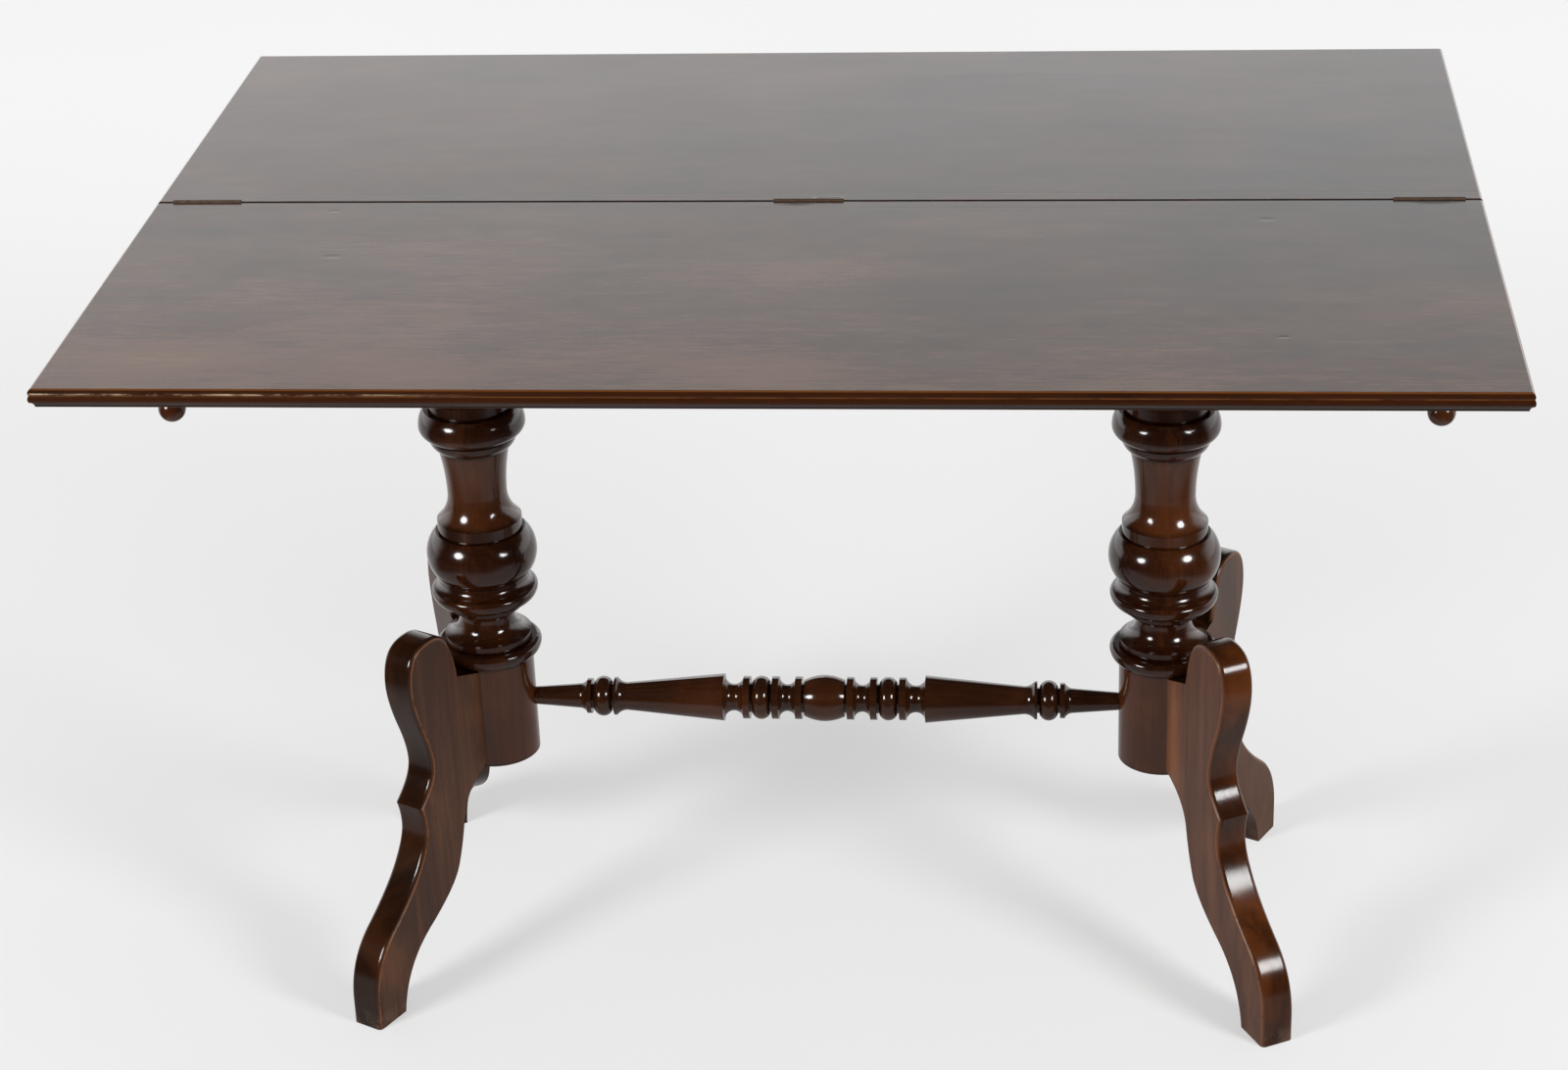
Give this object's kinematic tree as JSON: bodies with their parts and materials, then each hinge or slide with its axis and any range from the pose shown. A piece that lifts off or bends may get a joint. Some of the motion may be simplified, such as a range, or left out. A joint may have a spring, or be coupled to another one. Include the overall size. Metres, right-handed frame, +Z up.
{
  "type": "folding console table",
  "caption": "Wooden table with a hinged top that slides on its frame and folds in half, carried by turned pedestals with scroll legs and a turned stretcher.",
  "frame": {"origin": "on the floor under the middle of the open top", "axes": "+X along the joint of the leaves to the right, +Y to the back, +Z up"},
  "size_m": [1.208, 0.858, 0.7701],
  "materials": {
    "top_wood": "polished",
    "turned_wood": "glossy polish",
    "frame_wood": "satin polish",
    "inner_wood": "bare",
    "hinge_brass": "dull",
    "screw_steel": "dull"
  },
  "bodies": {
    "base": {"left_column": "turned_wood", "right_column": "turned_wood", "stretcher": "turned_wood", "front_left_leg": "frame_wood", "front_right_leg": "frame_wood", "rear_left_leg": "frame_wood", "rear_right_leg": "frame_wood", "leg_dowels": "inner_wood", "left_column_bearer": "inner_wood", "right_column_bearer": "inner_wood", "left_guide_bearer": "inner_wood", "right_guide_bearer": "inner_wood", "front_rail": "frame_wood", "rear_rail": "frame_wood", "left_end_rail": "frame_wood", "right_end_rail": "frame_wood", "front_left_post": "frame_wood", "front_right_post": "frame_wood", "rear_left_post": "frame_wood", "rear_right_post": "frame_wood", "front_left_drop": "turned_wood", "front_right_drop": "turned_wood", "rear_left_drop": "turned_wood", "rear_right_drop": "turned_wood"},
    "rear_top": {"rear_leaf": "top_wood", "left_runner": "inner_wood", "right_runner": "inner_wood", "runner_screws": "screw_steel", "rear_hinge_plates": "hinge_brass", "rear_hinge_screws": "screw_steel"},
    "front_top": {"front_leaf": "top_wood", "front_hinge_plates": "hinge_brass", "hinge_pins": "hinge_brass", "front_hinge_screws": "screw_steel"}
  },
  "joints": [
    {"name": "top_slide", "type": "slide", "parent": "base", "child": "rear_top", "axis": [0, -1, 0], "range_m": [0, 0.2145]},
    {"name": "leaf_fold", "type": "hinge", "parent": "rear_top", "child": "front_top", "pos_m": [0, 0, 0.7683], "axis": [-1, 0, 0], "range_deg": [0, 180]}
  ]
}
